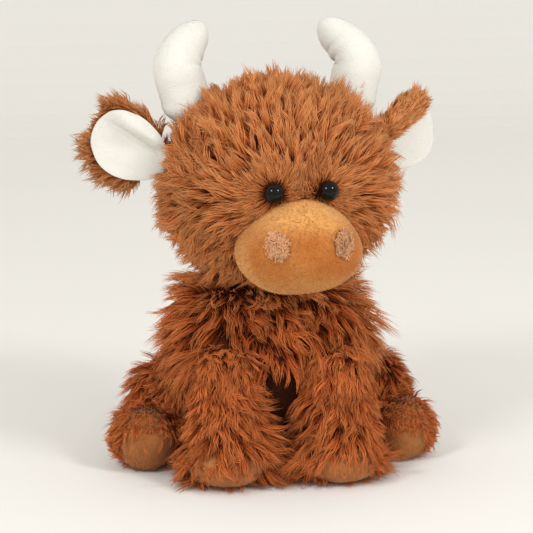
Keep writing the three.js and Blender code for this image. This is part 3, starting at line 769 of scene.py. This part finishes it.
def head_panel(p):
    """Which of the head's five panels of fur a root lies on."""
    direct = unit(unturn(p) - head_centre)
    side = np.where(direct[:, 0] > 0, 0, 1)
    panel = np.where(direct[:, 1] < 0.05, side, 2 + side)
    return np.where((direct[:, 2] > 0.5) & (direct[:, 1] < 0.45), 4, panel)


rng = np.random.default_rng(5)
roots, normals = scatter(head_core, 4000, head_keep)
panels = head_panel(roots)
for number, part in enumerate(("cheek_left", "cheek_right", "nape_left", "nape_right", "crown")):
    p, n = roots[panels == number], normals[panels == number]
    many = 7 if "nape" in part else 9
    calm = 1 - smooth(near_eye(unturn(p)), 10, 42)
    locks(f"head_fur_{part}", "head", p, n, head_flow(p), head_length(p), head_lift(p), 2.2, many, 0.53,
          wild=1 - 0.65 * calm)


def round_eyes(p, n):
    """All the head outside the eyes and the muzzle."""
    return (near_eye(unturn(p)) > 5.3) & (in_muzzle(unturn(p), -2) > 1)


def brow(p, n):
    """Where the short fur round each eye grows."""
    return round_eyes(p, n) & (near_eye(unturn(p)) < 15)


undercoat("head_undercoat", "head", head_core, 9500, head_flow, round_eyes)
short_pile("face_fur", "head", "fur", head_core, 60000, 7.5, 0.55, lambda p: unit(head_flow(p)), 1.1,
           fur, brow, shade=1, soft=0.6)

# Horns, with the soft creases that cloth has where it bends, and pile above the fur round their roots
fur_top = 172
for (name, side), root in zip(sides_of, horn_roots):
    out, inwards, backs = (0, 0.5, 1, 1.1, 0), (0, 0, 0, 0.5, 1), (0, 0.08, 0.17, 0.58, 1)
    path = [root + (0, 0, -9)]
    for i in range(5):
        aside = side * (3.5 * out[i] - 12 * inwards[i])
        path.append(root + (aside, 17 * backs[i], horn_height * i / 4))
    shares = (1.02, 1.02, 1.03, 1.02, 0.99, 0.93, 0.83, 0.7, 0.56)
    inner = side * np.pi / 2
    dents = [(0.62, inner, 1.6, 0.03, 0.8), (0.74, inner + 0.5, 1.0, 0.025, 0.6)]
    dents += [(0.5, inner - 0.9, 0.8, 0.03, 0.5)]
    shape = stuffed(path, (horn_radius, horn_radius), shares, (0, 1, 0), (9, 10), dents=dents)
    body = f"horn_{name}"
    horn = formed(f"{body}_cloth", cream, shape, 64, 72, turn_head)
    uneven(horn, 11, 0.7, side)
    hold(horn, 0.4, 0.6)
    fit(horn, body, "cream_plush", f"{body}_skin", f"{body}_stuffing", fill=0.9)
    short_pile(f"{body}_pile", body, "cream_plush", horn, 6000, 0.8, 0.32, (0, 0, 0.9), 1.6, cream,
               lambda p, n: p[:, 2] > fur_top)


# Ears: a furry leaf, and a cream lining whose upper lip folds forward
def ear_place(side):
    """From the ear's own leaf, which points along +X and faces -Y, to its place on the head."""
    def place(points):
        x, y, z = points[..., 0] * side, points[..., 1], points[..., 2]
        a = -side * ear_lift
        x, z = x * math.cos(a) + z * math.sin(a), -x * math.sin(a) + z * math.cos(a)
        return turn_head(spin(np.stack([x, y, z], -1), side * ear_sweep) + ear_roots[side])
    return place


def leaf(start, length, half, thick, forward, lip=0):
    """A padded leaf, cupped forward at its edges, with a lip along its top and a crease under that."""
    def shape(spot):
        along, up, out = spot[:, 2], spot[:, 0], spot[:, 1]
        fade = np.exp(-((along + 0.05) / 0.72) ** 4)
        fold = np.exp(-((up - 0.29) / 0.08) ** 2) - np.exp(-((up - 0.6) / 0.22) ** 2)
        front = out * thick - forward - ear_cup * up ** 2 + lip * fade * fold
        return np.stack([start + length * (1 + along) / 2, front, up * (1 + 0.12 * along) * half], 1)
    return shape


for name, side in sides_of:
    place, body = ear_place(side), f"ear_{name}"
    steps = np.array([(0, -1.0, 0), (1.0, 0, 0), (0, 0, 1.0)])
    ahead, outward, upward = place(steps) - place(np.zeros((1, 3)))
    shape = leaf(-3, ear_length + 1.5, ear_core_half, ear_thick - 1, 0)
    core = formed(f"{body}_backing", painted_shade_backing, shape, 40, 28, place)
    fit(core, body, "fur", f"{body}_back", fill=0.5)
    shape = leaf(-8, lining_length + 7.5, lining_half + 0.8, 2.2, ear_thick, 3.0)
    lining = formed(f"{body}_cream", cream, shape, 144, 32, place)
    uneven(lining, 9, 0.6, side)
    hold(lining, 0.4, 0.6)
    fit(lining, body, "cream_plush", f"{body}_lining", fill=0.4)
    short_pile(f"{body}_pile", body, "cream_plush", lining, 4000, 0.8, 0.3, (side * 0.9, 0, 0.2), 1.6, cream)
    middle = place(np.array([[ear_length / 2, 0, 0]]))[0]

    def above_ear(p, n):
        """The part of the head between the ear and the horn, clear of the ear's lining."""
        near = np.linalg.norm(unturn(p) - ear_roots[side] - (-side * 7, 2, 18), axis=1) < 11
        return near & ((p - middle) @ upward > ear_half - 2)

    p, n = scatter(head_core, 12000, above_ear)
    flow = outward * 0.7 + upward * 0.8 - ahead * 0.3
    locks(f"head_fur_tuft_{name}", "head", p, n, flow, 17, (60, 44), 2.2, 8, wild=0.5)

    def from_rim(p):
        """The shares of the ear's length and width at which a point lies, each from its middle."""
        return (p - middle) @ outward / (ear_length / 2), (p - middle) @ upward / ear_core_half

    def ear_flow(p):
        """Outwards and up over the upper edge, and hanging over the lower one."""
        along, height = from_rim(p)
        above = 42 * height * (0.5 + 0.5 * smooth(along, -0.9, 0))
        turn = np.radians(np.where(height > 0, above, height * (20 + 69 * (0.8 - along))))
        return outward * np.cos(turn)[:, None] + upward * np.sin(turn)[:, None]

    def rim(p, n):
        """The rim, but on the left ear, whose lining hangs down, only its upper half."""
        along, height = from_rim(p)
        return (np.hypot(along, height) > 0.8) & (n @ ahead < 0.4) & ((side < 0) | (height > 0.1))

    def behind(p, n):
        """The back of the ear, and its edge."""
        return n @ ahead < 0.3

    for part, count, keep in (("fur", 400, behind), ("fringe", 1500, rim)):
        p, n = scatter(core, count, keep)
        along, height = from_rim(p)
        size = 13 - 8.5 * smooth(along - 0.3 * np.abs(height), 0.35, 0.7) + 2 * smooth(-height, 0.2, 0.9)
        size += 2 * smooth(height, 0.2, 0.8) * smooth(-along, 0, 0.7)
        # The left ear's own hair is shorter, so that none stands out behind its lining
        size *= 1 if side < 0 else np.where(height > 0, 0.7, 0.22)
        # Their colour starts part way along a hair, so that less of the dark root's painted shade shows
        locks(f"{body}_{part}", body, p, n, ear_flow(p), size, (26, 4), 1.8, drop=0.1, soft=0.1,
              reach=(0.35, 1.1))
    undercoat(f"{body}_undercoat", body, core, 1200, ear_flow, behind, 0.9, 5.5 if side < 0 else 2.6)
    if side > 0:
        # The fur of this ear's back has been brushed forward over the lip
        def over(p, n):
            high, far = (p - middle) @ upward, (p - middle) @ outward
            return (n @ ahead > -0.4) & (high > 3.5) & (far < 13)

        def brushed(p):
            return outward * 0.95 + upward * 0.3

        p, n = scatter(lining, 1300, over)
        # This colour also starts part way along a hair, so that less of the dark root's painted shade shows
        locks(f"{body}_lip_fur", body, p, n, brushed(p), 10, (30, 8), 2.0, drop=0.1, soft=0.2,
              wild=0.6, reach=(0.25, 1.1))
        undercoat(f"{body}_lip_undercoat", body, lining, 3600, brushed, over, 0.9)


# Body
def down_flow(p, middle, out, swirl, seed=0.0):
    """Downwards and a little outwards, with slow swirls."""
    away = (p - middle) * (1, 1, 0)
    side = unit(np.stack([-away[:, 1], away[:, 0], np.zeros(len(p))], 1))
    wave = np.sin(p[:, 2] / 9 + p[:, 0] / 11 + seed) + np.sin(p[:, 1] / 8 - p[:, 2] / 13 + 2 * seed)
    return np.array((0, 0, -1.0)) + unit(away) * out + side * (swirl * 0.5 * wave)[:, None]


body_path = [(0, 0, 1), (0, -5, 53), (0, -10, 106)]
body_shares = (0.86, 0.98, 1, 0.98, 0.94, 0.86, 0.74)
shape = stuffed(body_path, (54, 41), body_shares, (1, 0, 0), (26, 26), inset=5)
body_core = formed("body_backing", painted_shade_backing, shape, 56, 40)
uneven(body_core, 30, 2.2, 2)
fit(body_core, "torso", "fur", "body_skin", "body_stuffing", "bean_bag", fill=0.7)
leg_axis = {side: np.array((side * 27.5, -45.0, 0)) for _, side in sides_of}


def body_keep(p, n):
    """No fur grows under the head, on the seat, behind the front legs or low between them."""
    chest = p[:, 2] > 54
    out = (p[:, 2] > 8) & (p[:, 2] < 101)
    # Low between the front legs the backing shows, painted dark as shade
    out &= (p[:, 1] > -15) | (np.abs(p[:, 0]) > 17) | chest
    for axis in leg_axis.values():
        out &= (np.hypot(*((p - axis)[:, :2] / 15).T) > 1) | chest
    return out


def body_flow(p):
    """Down all round the body."""
    return down_flow(p, np.zeros(3), 0.3, 0.8)


rng = np.random.default_rng(8)
p, n = scatter(body_core, 2660, body_keep)
# The body's middle leans forward towards the neck
front = p[:, 1] < -10 * p[:, 2] / 106
for part, chosen in (("front", front), ("back", ~front)):
    q = p[chosen]
    aside, height = np.abs(q[:, 0]), q[:, 2]
    # Longer hair stands out at the flanks, over the tops of the front legs and at the shoulders
    flank = smooth(aside, 30, 46) * smooth(height, 14, 30) * (1 - smooth(height, 66, 84))
    over = smooth(height, 50, 58) * (1 - smooth(height, 72, 86)) * (part == "front")
    over *= np.exp(-((aside - 27) / 15) ** 2)
    shoulder = smooth(aside, 18, 34) * smooth(height, 68, 84)
    lift = (56 + 6 * flank + 6 * over + 8 * shoulder, 24 + 10 * flank + 12 * over + 20 * shoulder)
    size = 14 + 4 * flank + 12 * over + 4 * shoulder
    # Painted shade: deep colour low on the body and in the middle between the legs, with painted light at the
    # flanks, more at the toy's left than at its right
    shade = (0.55 + 0.25 * np.sign(q[:, 0])) * smooth(aside, 22, 46)
    # Painted light over the top of the body, under the head
    shade = np.maximum(shade, 0.8 * smooth(height, 78, 92))
    locks(f"body_fur_{part}", "torso", q, n[chosen], body_flow(q), size, lift, shade=shade)
undercoat("body_undercoat", "torso", body_core, 9000, body_flow, body_keep, 0)

neck_core = formed("neck_backing", painted_shade_backing, ball(neck_pivot, (15.5, 15.5, 16)))
fit(neck_core, "neck", "fur", "neck_stuffing", fill=0.8)


# Front legs
def near_foot(p):
    """0 on the upper leg, and 1 near the floor."""
    return smooth(34 - p[:, 2], 0, 26)


for name, side in sides_of:
    shoulder = np.array((side * 27.0, -39.6, 62.0))
    foot = np.array((side * 28.0, -51.6, -0.5))
    path = [shoulder + (0, 4, 6), shoulder, (shoulder + foot) / 2 + (0, -1.5, 0), foot]
    shares = (0.8, 0.93, 0.97, 0.95, 0.97, 1.06, 1.18, 1.2)
    body = f"front_leg_{name}"
    shape = on_floor(stuffed(path, (20, 20), shares, (1, 0, 0), (14, 12), inset=5.8), 2.0)
    core = formed(f"{body}_backing", painted_shade_backing, shape, 48, 36)
    uneven(core, 16, 1.2, side)
    fit(core, body, "fur", f"{body}_skin", f"{body}_stuffing", fill=0.8)
    hoof_centre = foot + (0, -0.6, 10.5)
    shape = on_floor(ball(hoof_centre, (19.4, 20.8, 11)), sole_floor)
    hoof = formed(f"front_sole_{name}", sole, shape, 64, 40)
    hold(hoof, 0.3, 0.5)
    fit(hoof, body, "hoof_plush", f"front_hoof_{name}", fill=0.8)
    short_pile(f"front_sole_pile_{name}", body, "hoof_plush", hoof, 4500, 1.3, 0.42, (0, 0, -0.6), 1.1,
               sole, lambda p, n: n[:, 2] > -0.8)

    def leg_keep(p, n):
        """The toe is bare low in front, where its sole shows."""
        away = p - foot
        toe = (away[:, 1] < -8) & (np.abs(away[:, 0]) < 11) & (p[:, 2] < 10)
        return (p[:, 2] > 5) & ~toe & ~((p[:, 1] > -30) & (p[:, 2] > 20))

    axis = leg_axis[side] + (0, -3, 0)

    def leg_flow(p):
        """Forward and down from the shoulder, and splaying out at the foot."""
        near, top = near_foot(p)[:, None], smooth(p[:, 2], 46, 62)[:, None]
        splay = unit((p - axis) * (1, 1, 0)) + (0, 0, -0.35)
        flow = down_flow(p, axis, 0.25, 0.9, side) * (1 - near) + splay * near * 1.4
        return flow * (1 - 0.8 * top) + np.array((0, -1.0, -0.7)) * top

    p, n = scatter(core, 1250, leg_keep)
    near, top = near_foot(p), smooth(p[:, 2], 44, 58)
    away = p - foot
    toe = smooth(14 - np.abs(away[:, 0]), 0, 6) * smooth(-away[:, 1], 3, 11) * smooth(34 - p[:, 2], 0, 12)
    inner = smooth(-side * away[:, 0], 3, 12) * smooth(52 - p[:, 2], 0, 18)
    lift = (48 - 20 * top - 2 * near + 10 * inner, 20 - 10 * top + 12 * inner)
    size = (13 + 6 * near - top + 6 * inner) * (1 - toe) + np.clip((p[:, 2] - 5) * 1.35, 5, 19) * toe
    # Painted shade: the legs are a little less deep than the body and blend into it at the top, where the
    # dark root's painted shade is left out
    locks(f"{body}_fur", body, p, n, leg_flow(p), size, lift, drop=0.25 + 0.45 * top,
          floor=hair_floor + 5 * toe, soft=0.2, shade=0.15 * (1 - top), reach=(0.4 * top, 1))
    undercoat(f"{body}_undercoat", body, core, 4500, leg_flow, leg_keep, 0.15)

# Hind legs
for name, side in sides_of:
    hip = np.array((side * 53.95, -2.55, 27.0))
    foot = np.array((side * 67.95, -32.5, 16.5))
    knee = np.array((side * 62.4, -17.5, 16.5))
    body = f"hind_leg_{name}"
    heading = unit(foot - knee)
    shape = stuffed([hip + (0, 0, -10.5), knee, foot], (17, 17), (1, 1, 1, 1), (0, 0, 1), (17, 17), 4.5, True)
    core = formed(f"{body}_backing", painted_shade_backing, shape)
    fit(core, body, "fur", f"{body}_skin", f"{body}_stuffing", fill=0.8)
    haunch = formed(f"haunch_{name}_backing", painted_shade_backing, ball(hip, (15, 15, 21.5)))
    fit(haunch, body, "fur", fill=0.8)
    hoof_centre = foot - heading * 8
    hoof_centre[2] = 15.5
    angle = math.atan2(heading[0], -heading[1])

    def pad(spot):
        return spin(spot * (14.6, 12.6, 15.6), angle) + hoof_centre

    hoof = formed(f"hind_sole_{name}", sole, on_floor(pad, sole_floor), 64, 40)
    uneven(hoof, 9, 0.7, side)
    hold(hoof, 0.3, 0.5)
    fit(hoof, body, "hoof_plush", f"hind_hoof_{name}", fill=0.8)
    short_pile(f"hind_sole_pile_{name}", body, "hoof_plush", hoof, 5500, 2.0, 0.5,
               heading * 0.3 - (0, 0, 1.0), 1.6, sole, lambda p, n: n @ heading > -0.1, soft=0.6)

    def hind_keep(p, n):
        """No fur grows on the sole's side of the foot or on the seat."""
        return ((p - foot) @ heading < 2.5 + 5 * smooth(p[:, 2], 22, 30)) & (p[:, 2] > 5)

    def hind_flow(p):
        """Downwards from the hip, and forward over the foot."""
        near = np.clip(1 - np.linalg.norm(p - foot, axis=1) / 34, 0, 1)[:, None]
        away = unit(p - (foot - heading * 20))
        return down_flow(p, hip, 0.5, 0.7, side) * (1 - near) + (away + heading * 1.1) * near * 1.8

    for part, form, count in (("foot", core, 580), ("haunch", haunch, 540)):
        p, n = scatter(form, count, hind_keep)
        # Painted shade: deep, like the body
        locks(f"hind_{part}_{name}_fur", body, p, n, hind_flow(p), 14, (46, 16), soft=0.2, shade=0.1)
        undercoat(f"hind_{part}_{name}_undercoat", body, form, 2200, hind_flow, hind_keep, 0.1)

    # Long hair falls over the hoof's top and its outer side
    outer = np.array((heading[1], -heading[0], 0)) * (-side)
    low, wide = (22, 8.5) if side < 0 else (19, 5)

    def fringed(p, n):
        """The part of the hoof that the fringe covers."""
        return (p[:, 2] > low) | (((p - hoof_centre) @ outer > wide) & (p[:, 2] > 6))

    def beside(p):
        """0 on the hoof's inner side, and 1 on its outer side."""
        return smooth((p - hoof_centre) @ outer, 2, 12)

    def fringe_flow(p):
        over, aside = heading * 0.6 - (0, 0, 0.6), outer - (0, 0, 0.25)
        return over + (aside - over) * beside(p)[:, None]

    p, n = scatter(hoof, 800, fringed)
    size = 6.5 + 4.5 * beside(p)
    # Painted shade: deep, a little less than on the hind leg
    locks(f"hind_{name}_fringe", body, p, n, fringe_flow(p), size, (24, 4), 1.6, 7, 0.55, soft=0.2,
          shade=0.2)
    undercoat(f"hind_{name}_fringe_undercoat", body, hoof, 2600, fringe_flow, fringed, 0.2, 4)

# Tail
tail_root = np.array((0, 37.4, 38.0))
path = [tail_root, tail_root + (0, 15, -17.5), tail_root + (0, 15, -35)]
shape = stuffed(path, (5, 5), (1, 0.95, 1, 1.3, 1.6, 1.5), (1, 0, 0), (5, 5), inset=1.6)
tail_core = formed("tail_backing", painted_shade_backing, shape, 24, 24)
fit(tail_core, "tail", "fur", "tail", fill=0.8)
p, n = scatter(tail_core, 260)
size = 7 + 7 * np.clip((30 - p[:, 2]) / 20, 0, 1)
# Painted shade: deep, like the hind legs
locks("tail_fur", "tail", p, n, np.array((0, 0, -1.0)), size, (35, 10), 1.2, soft=0.2, shade=0.2)

# What is left showing is inside: the washers behind the eyes
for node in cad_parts.values():
    if not node.hide_render:
        node.data.materials.clear()
        node.data.materials.append(washer)


# Floor, backdrop and lights
def paper():
    """A pale sheet that lies flat and then curves up behind."""
    form = bmesh.new()
    turn = np.linspace(0, np.pi / 2, 24)
    bend = [(0.9 + 0.5 * math.sin(a), 0.5 * (1 - math.cos(a))) for a in turn]
    profile = [(-3.0, 0.0)] + bend + [(1.4, 3.0)]
    verts = [form.verts.new((-3.5, y, z)) for y, z in profile]
    edges = [form.edges.new(pair) for pair in zip(verts, verts[1:])]
    swept = bmesh.ops.extrude_edge_only(form, edges=edges)["geom"]
    bmesh.ops.translate(form, verts=[v for v in swept if isinstance(v, bmesh.types.BMVert)], vec=(7, 0, 0))
    white = plain_finish("paper", 0.9, 3, 2, "ebe9e3", "f0eee9", Specular_IOR_Level=0.1)
    return finished("paper", form, white, rounded=False)


paper()
world = bpy.data.worlds.new("studio")
bpy.context.scene.world = world
world.use_nodes = True
background = world.node_tree.nodes["Background"].inputs
background["Color"].default_value = (1, 0.99, 0.975, 1)
background["Strength"].default_value = 0.75


def softbox(name, place, size, power):
    """A square lamp that faces the toy's middle."""
    lamp = bpy.data.lights.new(name, "AREA")
    lamp.shape, lamp.size, lamp.energy = "SQUARE", size, power
    made = bpy.data.objects.new(name, lamp)
    made.location = place
    made.rotation_euler = (Vector((0, 0, 0.1)) - Vector(place)).to_track_quat("-Z", "Y").to_euler()
    bpy.context.scene.collection.objects.link(made)


softbox("key", (0.9, -0.95, 1.1), 0.34, 9.5)
softbox("fill", (-0.85, -0.9, 1.1), 0.34, 7.5)
bpy.context.scene.view_settings.view_transform = "Standard"
